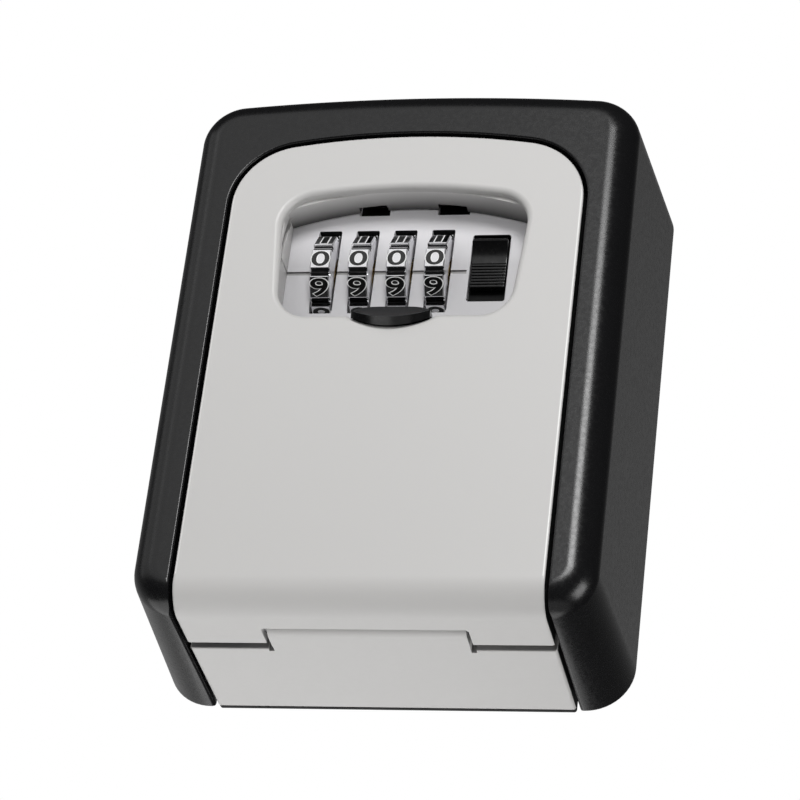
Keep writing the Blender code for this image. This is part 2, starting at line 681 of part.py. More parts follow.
def make_code_lever():
    """Lever behind the cover whose hub carries a spiral cam that pushes the dial shaft."""
    hub = [
        (-0.0142, HUB_RADIUS),
        (DIAL_Y + CAM_THICK / 2 - 0.0005, HUB_RADIUS),
    ]
    lever = add_part("code_lever", stepped_rod_y(LEVER_X, LEVER_Z, hub, 20), "black_plastic", smooth=True)
    cam = []
    for n in range(14):
        angle = 20 - 10 * n
        radius = CAM_LOW + SHAFT_SHIFT * -angle / 90
        turn = math.radians(angle)
        cam.append((LEVER_X + radius * math.cos(turn), LEVER_Z + radius * math.sin(turn)))
    cam += arc(LEVER_X, LEVER_Z, 0.0021, -120, -330, 14)
    weld(lever, prism_y(cam, DIAL_Y - CAM_THICK / 2, DIAL_Y + CAM_THICK / 2))
    arm_y = (COVER_Y[1] + GAP, COVER_Y[1] + 0.0018)
    weld(lever, rod_y(LEVER_X, LEVER_Z, 0.0034, *arm_y))
    arm = rounded_rectangle(LEVER_X - 0.0018, LEVER_X + 0.0018, LEVER_Z - 0.0085, LEVER_Z, 0.0015, 3)
    weld(lever, prism_y(arm, *arm_y))
    return lever


# ---------------------------------------------------------------- assembly


def build():
    for thing in list(bpy.data.objects):
        bpy.data.objects.remove(thing, do_unlink=True)

    make_outer_shell()
    make_body_tray()
    make_wall_gasket()
    make_strike_plate()
    make_hinge_pin()
    make_shell_screws()

    hinge = add_pivot("door_hinge", (0, PIN_Y, PIN_Z))
    make_cover_screws()
    door_parts = [
        make_door_panel(),
        make_dial_fascia(),
        make_lock_frame(),
        make_mechanism_cover(),
        make_shutter_guide(),
        make_detent_comb(),
    ] + [bpy.data.objects[f"cover_screw_{n}"] for n in range(1, 5)]
    for part in door_parts:
        ride(part, hinge)

    ride(make_dial_shutter(), add_pivot("shutter_axis", (0, SHUTTER_Y, SHUTTER_Z), hinge))
    for n, x in enumerate(DIAL_X):
        pivot = add_pivot(f"dial_axis_{n + 1}", (x, DIAL_Y, DIAL_Z), hinge)
        ride(make_number_dial(n), pivot)
        ride(make_dial_sleeve(n), pivot)
    ride(make_dial_shaft(), add_pivot("shaft_slide", (0, DIAL_Y, DIAL_Z), hinge))
    ride(make_code_lever(), add_pivot("lever_axis", (LEVER_X, COVER_Y[1], LEVER_Z), hinge))

    button = add_pivot("button_slide", (0.0165, FASCIA_Y, 0.0226), hinge)
    for part in (make_open_button(), make_latch_carriage(), make_gate_fence()):
        ride(part, button)
    ride(make_spring("return_spring", *SPRING_XY, 0.0099, 0.0277, 0.0022, 0.0004, 7), button)
    bolt = add_pivot("bolt_slide", (0.0165, -0.0211, 0.0203), button)
    ride(make_latch_bolt(), bolt)
    ride(make_spring("bolt_spring", 0.0165, -0.0211, 0.0149, 0.0200, 0.0012, 0.0003, 4), bolt)


build()
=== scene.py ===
import json
import math

import bmesh
import bpy
from mathutils import Matrix, Vector

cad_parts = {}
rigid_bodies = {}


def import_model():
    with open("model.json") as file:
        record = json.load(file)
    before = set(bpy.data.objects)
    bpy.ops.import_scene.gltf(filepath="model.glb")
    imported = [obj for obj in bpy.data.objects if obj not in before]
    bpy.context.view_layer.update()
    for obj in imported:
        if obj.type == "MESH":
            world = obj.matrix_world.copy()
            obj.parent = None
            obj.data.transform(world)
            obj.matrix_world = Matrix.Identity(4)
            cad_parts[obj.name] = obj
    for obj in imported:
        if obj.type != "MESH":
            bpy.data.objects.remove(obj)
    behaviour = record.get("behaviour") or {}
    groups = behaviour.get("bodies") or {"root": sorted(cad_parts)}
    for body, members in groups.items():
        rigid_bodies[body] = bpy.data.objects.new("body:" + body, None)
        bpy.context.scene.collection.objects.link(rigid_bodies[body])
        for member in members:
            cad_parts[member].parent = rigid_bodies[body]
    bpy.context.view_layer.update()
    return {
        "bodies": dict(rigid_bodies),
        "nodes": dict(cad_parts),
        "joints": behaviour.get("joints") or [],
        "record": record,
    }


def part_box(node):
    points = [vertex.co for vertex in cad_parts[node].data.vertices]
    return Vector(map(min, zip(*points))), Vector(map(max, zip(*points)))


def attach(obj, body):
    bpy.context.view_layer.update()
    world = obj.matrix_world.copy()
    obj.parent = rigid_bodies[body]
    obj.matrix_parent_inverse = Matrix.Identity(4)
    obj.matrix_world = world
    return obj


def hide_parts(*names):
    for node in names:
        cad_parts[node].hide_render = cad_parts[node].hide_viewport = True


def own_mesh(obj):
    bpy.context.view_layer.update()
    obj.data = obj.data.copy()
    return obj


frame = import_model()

# ---------------------------------------------------------------- sizes, in metres

FRONT_Y = -0.0444
BOTTOM_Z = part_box("outer_shell")[0][2]
SHELL_BACK_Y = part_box("outer_shell")[1][1]
SHELL_HALF_BACK, SHELL_HALF_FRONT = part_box("outer_shell")[1][0], 0.0454
SHELL_TOP_BACK, SHELL_TOP_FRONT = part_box("outer_shell")[1][2], 0.0597
SHELL_CORNER_BACK, SHELL_CORNER_FRONT = 0.006, 0.0095
SHELL_FOOT, SHELL_ARCH, SHELL_FILLET, SHELL_WALL = 0.0095, 0.45, 0.0055, 0.0022
OPENING_HALF, OPENING_TOP, OPENING_CORNER, OPENING_WALL = 0.0370, 0.0486, 0.0149, 0.0022
OPENING_EDGE, FOOT_EDGE = 0.0005, 0.0009
SHELL_BACK_EDGE = 0.0003
POCKET_FRONT_Y, POCKET_TAPER = -0.0395, 0.0016
LUG_X, LUG_HALF, LUG_HEIGHTS = 0.0408, 0.0035, (-0.036, 0.022)
LUG_SEAT_Y, SHELL_BOSS_RADIUS, SCREW_RADIUS = -0.0042, 0.0024, 0.0013
GAP = 0.0003

DOOR_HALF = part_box("door_panel")[1][0]
DOOR_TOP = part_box("door_panel")[1][2]
DOOR_CORNER, DOOR_ARCH = 0.014, 0.15
DOOR_BACK_Y, DOOR_BEND = -0.0285, 0.0065
DOOR_WALL, DOOR_FRONT_WALL = 0.0018, 0.0020
DOOR_EDGE = 0.00045
BEND_HALF, BEND_EDGE = 0.0366, 0.0009
GUIDE_RAIL_X, GUIDE_RAIL_Z, GUIDE_RAIL_Y = (0.0277, 0.0292), (-0.026, 0.002), -0.0300
COVER_BOSS_RADIUS, COVER_BOSS_Y = 0.0022, -0.0183

TRAY_GROWTH, TRAY_WALL = 0.0002, 0.0025
TRAY_FRONT_Y, TRAY_BACK_Y = -0.026, -0.0013
MOUNT_HOLES = ((-0.020, 0.032), (0.020, 0.032), (-0.020, -0.040), (0.020, -0.040))
MOUNT_HOLE_RADIUS = 0.0025
GASKET_FRONT_Y, GASKET_INSET = -0.0010, 0.0001

BARREL = 0.003
TAB_HALF, TAB_NOTCH_HALF, TAB_NOTCH_Y = 0.0196, 0.0204, -0.0344
PIN_Y, PIN_Z, PIN_RADIUS = -0.0306, BOTTOM_Z + BARREL, 0.0015
EAR_X = (0.0212, 0.0238)
COVER_SCREWS = ((-0.0306, 0.0105), (0.0306, 0.0105), (-0.0306, 0.0330), (0.0306, 0.0330))

WINDOW_HALF, WINDOW_TOP, WINDOW_BOTTOM = 0.0251, 0.0353, 0.0049
WINDOW_ARCH, WINDOW_CORNER, WINDOW_FOOT, WINDOW_FILLET = 0.110, 0.0076, 0.0060, 0.0013
WINDOW_TAPER, WINDOW_WIDEST_Z = 3.4, 0.025  # share of the width lost per metre below that height
SCOOP_HALF, SCOOP_DEPTH = 0.0092, 0.0024
LIP_BACK_Y = -0.0424
CAVITY_HALF, CAVITY_TOP, CAVITY_ARCH = 0.02505, 0.0355, 0.075
RECESS_WALL = 0.0016
NOTCHES, NOTCH_FRONT_Y = ((-0.0112, -0.0055), (0.0051, 0.0111)), -0.0378
FASCIA_Y, FASCIA_BACK_Y = -0.0354, -0.0339

SHUTTER_Y, SHUTTER_Z, SHUTTER_RADIUS, SHUTTER_THICK = 0.01136, 0.01058, 0.0540, 0.0012
SHUTTER_HALF, SHUTTER_LOW, SHUTTER_HIGH = 0.0270, -41.9, -5.85  # the last two are degrees from level
SHUTTER_SWEEP = (-46, 22.5)
LIP_HALF = 0.0080

DIAL_X = [-0.0171 + 0.00785 * n for n in range(4)]
DIAL_Y, DIAL_Z = -0.0307, 0.0208
DIAL_RADIUS, DIAL_WIDTH, DIAL_BORE = 0.0098, 0.0041, 0.0053
SLOT_WIDTH, SLOT_LOW, SLOT_HIGH = 0.0047, 0.0113, 0.0306
GROOVE_Z, GROOVE_HALF, GROOVE_DEPTH, GROOVE_END = 0.02052, 0.00038, 0.0004, 0.0121

BUTTON_X, BUTTON_Z = (0.01295, 0.0202), (0.0167, 0.0276)
BUTTON_SLOT_X, BUTTON_SLOT_Z = (0.0127, 0.02045), (0.0134, 0.0292)
BUTTON_FACE_Y, BUTTON_LIP_Y = -0.0354, -0.0370
COIL_X, COIL_Y, COIL_LOW, COIL_HIGH = 0.0165, -0.0277, 0.0099, 0.0277
COIL_RADIUS, COIL_WIRE = 0.0020, 0.0002
RIB_TOP_Z, BUTTON_RIBS, BUTTON_ROUND = 0.0224, 8, 0.0006


# ---------------------------------------------------------------- materials


class Shader:
    """A Principled material with helpers for procedural detail in object space."""

    def __init__(self, name, colour, roughness, metallic=0.0):
        self.material = bpy.data.materials.new(name)
        self.material.use_nodes = True
        self.nodes = self.material.node_tree.nodes
        self.links = self.material.node_tree.links
        self.surface = self.nodes["Principled BSDF"]
        self.colour, self.roughness = colour, roughness
        self.surface.inputs["Base Color"].default_value = (*colour, 1)
        self.surface.inputs["Roughness"].default_value = roughness
        self.surface.inputs["Metallic"].default_value = metallic
        self.place = self.nodes.new("ShaderNodeTexCoord").outputs["Object"]

    def noise(self, scale, detail=2.0):
        noise = self.nodes.new("ShaderNodeTexNoise")
        noise.inputs["Scale"].default_value = scale
        noise.inputs["Detail"].default_value = detail
        self.links.new(self.place, noise.inputs["Vector"])
        return noise.outputs["Fac"]

    def spread(self, value, low, high):
        """The value, from 0.3 to 0.7, mapped to a range."""
        ramp = self.nodes.new("ShaderNodeMapRange")
        ramp.inputs["From Min"].default_value = 0.3
        ramp.inputs["From Max"].default_value = 0.7
        ramp.inputs["To Min"].default_value = low
        ramp.inputs["To Max"].default_value = high
        self.links.new(value, ramp.inputs["Value"])
        return ramp.outputs["Result"]

    def vary_colour(self, value, amount):
        """Base colour from a little darker to a little lighter."""
        mix = self.nodes.new("ShaderNodeMix")
        mix.data_type = "RGBA"
        mix.inputs["A"].default_value = (*[c * (1 - amount) for c in self.colour], 1)
        mix.inputs["B"].default_value = (*[min(1.0, c * (1 + amount)) for c in self.colour], 1)
        self.links.new(self.spread(value, 0, 1), mix.inputs["Factor"])
        self.links.new(mix.outputs["Result"], self.surface.inputs["Base Color"])

    def vary_roughness(self, value, amount):
        low, high = max(0.02, self.roughness - amount), self.roughness + amount
        self.links.new(self.spread(value, low, high), self.surface.inputs["Roughness"])

    def bump(self, value, height, strength=1.0):
        bump = self.nodes.new("ShaderNodeBump")
        bump.inputs["Strength"].default_value = strength
        bump.inputs["Distance"].default_value = height
        self.links.new(value, bump.inputs["Height"])
        self.links.new(bump.outputs["Normal"], self.surface.inputs["Normal"])


def orange_peel(paint):
    """The fine surface that all enamels share."""
    paint.vary_roughness(paint.noise(900), 0.05)
    paint.bump(paint.noise(3200, 3), 0.00002, 0.5)
    return paint.material


def enamel(name, colour, roughness):
    """Powder-fine enamel: a faint orange peel and a slow drift of tone."""
    paint = Shader(name, colour, roughness)
    paint.vary_colour(paint.noise(60), 0.012)
    return orange_peel(paint)


def moulded(name, colour, roughness, grain=0.00002, specular=0.39):
    """Moulded plastic with a fine spark-eroded grain."""
    plastic = Shader(name, colour, roughness)
    plastic.surface.inputs["Specular IOR Level"].default_value = specular
    plastic.vary_colour(plastic.noise(80), 0.06)
    plastic.vary_roughness(plastic.noise(1200), 0.04)
    plastic.bump(plastic.noise(4200, 3), grain, 0.5)
    return plastic.material


def shaded_enamel(name, colour, roughness, axis, start, stop, share):
    """Enamel whose tone changes to a share of itself from one place to another along an axis: a painted
    tone gradient, used for painted light and shade.
    """
    paint = Shader(name, colour, roughness)
    split = paint.nodes.new("ShaderNodeSeparateXYZ")
    paint.links.new(paint.place, split.inputs["Vector"])
    ramp = paint.nodes.new("ShaderNodeMapRange")
    for socket, value in (("From Min", start), ("From Max", stop), ("To Min", 0.0), ("To Max", 1.0)):
        ramp.inputs[socket].default_value = value
    paint.links.new(split.outputs[axis], ramp.inputs["Value"])
    mix = paint.nodes.new("ShaderNodeMix")
    mix.data_type = "RGBA"
    mix.inputs["A"].default_value = (*colour, 1)
    mix.inputs["B"].default_value = (*[c * share for c in colour], 1)
    paint.links.new(ramp.outputs["Result"], mix.inputs["Factor"])
    paint.links.new(mix.outputs["Result"], paint.surface.inputs["Base Color"])
    return orange_peel(paint)


def plated(name, colour, roughness):
    """Bare or plated metal with a slightly uneven polish."""
    metal = Shader(name, colour, roughness, 1.0)
    metal.vary_roughness(metal.noise(700), roughness * 0.35)
    metal.bump(metal.noise(1500), 0.000004, 0.4)
    return metal.material


SHELL_BLACK = moulded("shell_black", (0.0060, 0.0060, 0.0065), 0.26, 0.000007)
INNER_BLACK = moulded("inner_black", (0.007, 0.007, 0.0075), 0.5)
LIP_PAINTED_SHEEN = moulded("lip_painted_sheen", (0.020, 0.020, 0.021), 0.38, 0.000006)
LATCH_PAINTED_SHADE = moulded("latch_painted_shade", (0.003, 0.003, 0.0032), 0.6, 0.00002, 0.12)
BUTTON_BLACK = moulded("button_black", (0.004, 0.004, 0.0043), 0.24, 0.000004)
# Lighter, glossier enamel for the door's rounded side edges: a painted highlight.
EDGE_PAINTED_HIGHLIGHT = enamel("edge_painted_highlight", (0.690, 0.683, 0.670), 0.32)
# Recess ceiling enamel, painted down to a tenth of its tone towards the fascia: painted shade.
CEILING_PAINTED_SHADE = shaded_enamel("ceiling_painted_shade", (0.76, 0.751, 0.741), 0.44, "Y", -0.0430, -0.0364, 0.10)
GROOVE_PAINTED_SHADE = moulded("groove_painted_shade", (0.27, 0.266, 0.264), 0.6)
SEAM_SHADE = moulded("seam_shade", (0.020, 0.020, 0.020), 0.6)
GASKET_BLACK = moulded("gasket_black", (0.012, 0.012, 0.012), 0.8, 0.00004)
# Door and tray enamel, painted a little darker towards the bottom: painted shade.
DOOR_GREY_PAINTED_SHADE = shaded_enamel("door_grey_painted_shade", (0.560, 0.553, 0.544), 0.40, "Z", 0.045, -0.045, 0.94)
# Fascia enamel painted lighter at its top than lower down, to cancel the shadow of the window's lip:
# painted light.
FASCIA_PAINTED_LIGHT = shaded_enamel("fascia_painted_light", (0.860, 0.850, 0.872), 0.40, "Z", 0.033, 0.022, 0.57)
CHROME = plated("chrome", (0.86, 0.86, 0.88), 0.10)
DIAL_SIDE = plated("dial_side", (0.80, 0.80, 0.82), 0.42)
DIAL_GROOVE_PAINTED_SHADE = moulded("dial_groove_painted_shade", (0.012, 0.012, 0.013), 0.45, 0.00006)
DIGIT_PAINTED_GLINT = enamel("digit_painted_glint", (0.80, 0.80, 0.80), 0.35)
DIGIT_INK = moulded("digit_ink", (0.004, 0.004, 0.004), 0.35, 0.000004)
STEEL = plated("steel", (0.56, 0.56, 0.57), 0.30)
SPRING_STEEL = plated("spring_steel", (0.45, 0.45, 0.47), 0.28)
ZINC = plated("zinc", (0.50, 0.50, 0.515), 0.42)
BRASS = plated("brass", (0.72, 0.53, 0.24), 0.28)


# ---------------------------------------------------------------- mesh helpers


def arc(cx, cy, radius, start, stop, steps):
    angles = [math.radians(start + (stop - start) * n / steps) for n in range(steps + 1)]
    return [(cx + radius * math.cos(a), cy + radius * math.sin(a)) for a in angles]


def arched_outline(half, top, bottom, corner, arch, foot=0.0, fine=1):
    """Outline (x, z) with an arched top edge, round top corners and, with foot, round lower ones."""
    arch_z = top - arch
    corner_x = half - corner
    corner_z = arch_z + math.sqrt((arch - corner) ** 2 - corner_x**2)
    meet = math.degrees(math.atan2(corner_z - arch_z, corner_x))
    right = [(half, bottom)]
    if foot:
        right = arc(half - foot, bottom + foot, foot, -90, 0, 14 * fine)
    right += arc(corner_x, corner_z, corner, 0, meet, 18 * fine)
    crown = arc(0, arch_z, arch, meet, 180 - meet, 24 * fine)[1:-1]
    return right + crown + [(-x, z) for x, z in reversed(right)]


def rounded_rectangle(x0, x1, z0, z1, radius, steps=5):
    return (
        arc(x1 - radius, z0 + radius, radius, -90, 0, steps)
        + arc(x1 - radius, z1 - radius, radius, 0, 90, steps)
        + arc(x0 + radius, z1 - radius, radius, 90, 180, steps)
        + arc(x0 + radius, z0 + radius, radius, 180, 270, steps)
    )


def grown_rectangle(x0, x1, z0, z1, radius):
    """Function that gives the rounded rectangle grown on all sides, for slab_y and flared_y."""

    def outline_at(growth):
        return rounded_rectangle(x0 - growth, x1 + growth, z0 - growth, z1 + growth, radius + growth)

    return outline_at


def loft(rings):
    """Closed solid through rings of 3-D points, with a flat face on both ends."""
    solid = bmesh.new()
    rows = [[solid.verts.new(point) for point in ring] for ring in rings]
    for near, far in zip(rows, rows[1:]):
        for n in range(len(near)):
            m = (n + 1) % len(near)
            solid.faces.new((near[n], near[m], far[m], far[n]))
    solid.faces.new(rows[0])
    solid.faces.new(rows[-1])
    bmesh.ops.recalc_face_normals(solid, faces=solid.faces)
    return solid


def prism_y(outline, y0, y1):
    return loft([[(x, y, z) for x, z in outline] for y in (y0, y1)])


def prism_x(outline, x0, x1):
    """The outline is in (y, z)."""
    return loft([[(x, y, z) for y, z in outline] for x in (x0, x1)])


def round_steps(radius, steps=5):
    """(depth from the face, inset from the side) pairs of a round edge, starting at the face."""
    turns = [math.pi / 2 * n / steps for n in range(steps, -1, -1)]
    return [(radius * (1 - math.sin(t)), radius * (1 - math.cos(t))) for t in turns]


def slab_y(outline_at, y0, y1, front_round=0.0, back_round=0.0):
    """Prism along Y with round edges; outline_at(growth) gives the outline."""
    stations = []
    if front_round:
        stations += [(y0 + depth, -inset) for depth, inset in round_steps(front_round)]
    else:
        stations.append((y0, 0.0))
    if back_round:
        stations += [(y1 - depth, -inset) for depth, inset in reversed(round_steps(back_round))]
    else:
        stations.append((y1, 0.0))
    return loft([[(x, y, z) for x, z in outline_at(growth)] for y, growth in stations])


def flared_y(outline_at, face_y, back_y, radius, steps=6):
    """Cutter for a hole that opens through a face at face_y, towards -Y, and leaves its edge round."""
    stations = [(face_y - 0.002, radius * 1.02)]
    stations += [(face_y + depth, inset) for depth, inset in round_steps(radius, steps)[:-1]]
    stations += [(face_y + radius, 0.0), (back_y, 0.0)]
    return loft([[(x, y, z) for x, z in outline_at(growth)] for y, growth in stations])


def block(x0, x1, y0, y1, z0, z1):
    return prism_y([(x0, z0), (x1, z0), (x1, z1), (x0, z1)], y0, y1)


def rod_x(y, z, radius, x0, x1, sides=48):
    return prism_x(arc(y, z, radius, 0, 360, sides)[:-1], x0, x1)


def rod_y(x, z, radius, y0, y1, sides=32):
    return prism_y(arc(x, z, radius, 0, 360, sides)[:-1], y0, y1)


def new_object(name, solid):
    mesh = bpy.data.meshes.new(name)
    solid.to_mesh(mesh)
    solid.free()
    thing = bpy.data.objects.new(name, mesh)
    bpy.context.scene.collection.objects.link(thing)
    return thing


class Sculpt:
    """A body made by Boolean steps, which end as one plain mesh."""

    def __init__(self, name, solid):
        self.body = new_object(name, solid)
        self.tools = []

    def step(self, solid, operation, owner=None):
        tool = solid if isinstance(solid, bpy.types.Object) else new_object("tool", solid)
        self.tools.append(tool)
        modifier = (owner or self.body).modifiers.new(operation, "BOOLEAN")
        modifier.operation = operation
        modifier.solver = "EXACT"
        modifier.object = tool
        return tool

    def cut(self, solid):
        return self.step(solid, "DIFFERENCE")

    def weld(self, solid):
        return self.step(solid, "UNION")

    def finish(self):
        """Applies the steps and removes the tools."""
        shapes = bpy.context.evaluated_depsgraph_get()
        mesh = bpy.data.meshes.new_from_object(self.body.evaluated_get(shapes))
        self.body.modifiers.clear()
        self.body.data = mesh
        for tool in self.tools:
            bpy.data.objects.remove(tool, do_unlink=True)
        return self.body


def dress(piece, material, body, replaced, angle=28):
    """Gives a piece its material, smooth shading and body, and hides the CAD parts it replaces."""
    piece.data.materials.clear()
    piece.data.materials.append(material)
    piece.data.shade_smooth()
    piece.data.set_sharp_from_angle(angle=math.radians(angle))
    normals = piece.modifiers.new("weighted_normals", "WEIGHTED_NORMAL")
    normals.keep_sharp = True
    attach(piece, body)
    if replaced:
        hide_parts(*replaced)
    return piece


def tint(piece, material, test):
    """Gives a second material to the faces whose centre and normal pass the test."""
    piece.data.materials.append(material)
    index = len(piece.data.materials) - 1
    for face in piece.data.polygons:
        if test(face.center, face.normal):
            face.material_index = index


# ---------------------------------------------------------------- housing


def shell_ring(y, inset=0.0):
    front = (y - SHELL_BACK_Y) / (FRONT_Y - SHELL_BACK_Y)
    half = SHELL_HALF_BACK + (SHELL_HALF_FRONT - SHELL_HALF_BACK) * front - inset
    top = SHELL_TOP_BACK + (SHELL_TOP_FRONT - SHELL_TOP_BACK) * front - inset
    corner = SHELL_CORNER_BACK + (SHELL_CORNER_FRONT - SHELL_CORNER_BACK) * front - inset
    outline = arched_outline(half, top, BOTTOM_Z + inset, corner, SHELL_ARCH, SHELL_FOOT - inset)
    return [(x, y, z) for x, z in outline]


def opening_outline(growth=0.0, edge=FOOT_EDGE):
    """Opening for the door; its sides open out where they leave through the floor."""
    half = OPENING_HALF + growth
    bend_z = BOTTOM_Z + edge
    arch = DOOR_ARCH + OPENING_TOP - DOOR_TOP + growth
    above = arched_outline(half, OPENING_TOP + growth, bend_z, OPENING_CORNER + growth, arch)
    bend = arc(half + edge, bend_z, edge, 270, 180, 6)[:-1]
    below = [(half + edge, BOTTOM_Z - 0.01)] + bend
    return below + above + [(-x, z) for x, z in reversed(below)]


def make_shell():
    rings = [shell_ring(SHELL_BACK_Y, SHELL_BACK_EDGE), shell_ring(SHELL_BACK_Y - SHELL_BACK_EDGE)]
    for depth, inset in reversed(round_steps(SHELL_FILLET, 14)):
        rings.append(shell_ring(FRONT_Y + depth, inset))
    shell = Sculpt("shell_skin", loft(rings))
    shell.cut(flared_y(opening_outline, FRONT_Y, 0.01, OPENING_EDGE))
    pocket_rings = [shell_ring(POCKET_FRONT_Y, SHELL_WALL + POCKET_TAPER), shell_ring(0.002, SHELL_WALL)]
    pocket = shell.cut(loft(pocket_rings))
    shell.step(prism_y(opening_outline(OPENING_WALL), -0.06, 0.01), "DIFFERENCE", pocket)
    for side in (-1, 1):
        for height in LUG_HEIGHTS:
            x = side * LUG_X
            shell.weld(rod_y(x, height, SHELL_BOSS_RADIUS, POCKET_FRONT_Y - 0.001, LUG_SEAT_Y))
            shell.cut(rod_y(x, height, SCREW_RADIUS, -0.016, 0.001))
            near, far = sorted((side * 0.036, side * (LUG_X + 0.0014)))
            reach = LUG_HALF + GAP
            shell.cut(block(near, far, LUG_SEAT_Y + GAP, 0.001, height - reach, height + reach))
    dress(shell.finish(), SHELL_BLACK, "housing", ["outer_shell"])


def tray_outline(growth=0.0):
    growth += TRAY_GROWTH
    return arched_outline(
        DOOR_HALF + growth,
        DOOR_TOP + growth,
        BOTTOM_Z - growth + TRAY_GROWTH,
        DOOR_CORNER + growth,
        DOOR_ARCH + growth,
        max(0.0005 + growth, 0.0002),
    )


def make_tray():
    tray = Sculpt("tray_skin", slab_y(tray_outline, TRAY_FRONT_Y, TRAY_BACK_Y, 0.0003, 0.0003))
    tray.cut(prism_y(tray_outline(-TRAY_WALL), -0.05, TRAY_BACK_Y - TRAY_WALL))
    tray.weld(block(-TAB_HALF, TAB_HALF, PIN_Y, TRAY_FRONT_Y + 0.001, BOTTOM_Z, BOTTOM_Z + 0.002))
    tray.weld(rod_x(PIN_Y, PIN_Z, BARREL, -TAB_HALF, TAB_HALF, 64))
    tray.cut(rod_x(PIN_Y, PIN_Z, PIN_RADIUS + 0.0002, -0.03, 0.03))
    for side in (-1, 1):
        for height in LUG_HEIGHTS:
            near, far = sorted((side * 0.0355, side * (LUG_X + 0.0011)))
            tray.weld(block(near, far, -0.0036, -0.0021, height - LUG_HALF, height + LUG_HALF))
            tray.cut(rod_y(side * LUG_X, height, SCREW_RADIUS, -0.01, 0.001))
    for x, z in MOUNT_HOLES:
        tray.cut(rod_y(x, z, MOUNT_HOLE_RADIUS, -0.01, 0.001))
    for side in (-1, 1):
        near, far = sorted((side * (TAB_HALF - 0.0001), side * (TAB_HALF + 0.0010)))
        tray.cut(block(near, far, TRAY_FRONT_Y - 0.001, TRAY_FRONT_Y + 0.0008, -0.07, BOTTOM_Z + 0.003))

    def on_front(at, facing):
        return facing.y < -0.9 and at.y > TRAY_FRONT_Y - 0.0002

    def on_side(at, facing):
        return abs(facing.x) > 0.9 and abs(at.x) > DOOR_HALF - 0.0002

    piece = dress(tray.finish(), DOOR_GREY_PAINTED_SHADE, "housing", ["body_tray"])
    # Painted shade: the tray's front face, seen in the seam under the door, is painted dark grey.
    tint(piece, GROOVE_PAINTED_SHADE, on_front)
    tint(piece, SEAM_SHADE, on_side)


def make_gasket():
    def outline_at(growth):
        return tray_outline(growth - GASKET_INSET)

    gasket = Sculpt("gasket_skin", slab_y(outline_at, GASKET_FRONT_Y, 0.0, 0.0002, 0.0002))
    for x, z in MOUNT_HOLES:
        gasket.cut(rod_y(x, z, MOUNT_HOLE_RADIUS + 0.0005, -0.01, 0.01))
    dress(gasket.finish(), GASKET_BLACK, "housing", ["wall_gasket"])


# ---------------------------------------------------------------- door


def door_profile(inset=0.0, back=DOOR_BACK_Y, top=0.06):
    """Side view (y, z): the front face bends back into the floor."""
    front, floor = FRONT_Y + inset, BOTTOM_Z + inset
    bend = DOOR_BEND - inset
    corner = arc(front + bend, floor + bend, bend, 180, 270, 20)
    return [(back, floor), (back, top), (front, top)] + corner


def door_outline(growth=0.0):
    return arched_outline(
        DOOR_HALF + growth, DOOR_TOP + growth, -0.07, DOOR_CORNER + growth, DOOR_ARCH + growth
    )


def window_outline(growth=0.0):
    """Window that narrows downwards, with an arched top and a finger scoop in its lower edge."""
    bottom = WINDOW_BOTTOM - growth
    frame = arched_outline(
        WINDOW_HALF + growth,
        WINDOW_TOP + growth,
        bottom,
        WINDOW_CORNER + growth,
        WINDOW_ARCH + growth,
        WINDOW_FOOT + growth,
    )
    sides = [(x * (1 + WINDOW_TAPER * (z - WINDOW_WIDEST_Z)), z) for x, z in frame]
    steps = 28
    across = [2 * n / steps - 1 for n in range(steps + 1)]
    half = SCOOP_HALF + growth * 0.5
    return sides + [(half * a, bottom - SCOOP_DEPTH * (1 - abs(a) ** 2.3)) for a in across]


def cavity_outline(growth=0.0, rise=0.0):
    """The recess behind the window's lip: upright sides and an arched ceiling."""
    return arched_outline(
        CAVITY_HALF + growth,
        CAVITY_TOP + growth + rise,
        WINDOW_BOTTOM - growth,
        0.0003 + growth,
        CAVITY_ARCH + growth,
    )


def sector(radius_in, radius_out, start, stop, half, steps=24):
    """Solid band of a cylinder about the shutter's axis, front side, angles up from level."""
    outer = arc(SHUTTER_Y, SHUTTER_Z, radius_out, 180 - start, 180 - stop, steps)
    inner = arc(SHUTTER_Y, SHUTTER_Z, radius_in, 180 - stop, 180 - start, steps)
    return prism_x(outer + inner, -half, half)


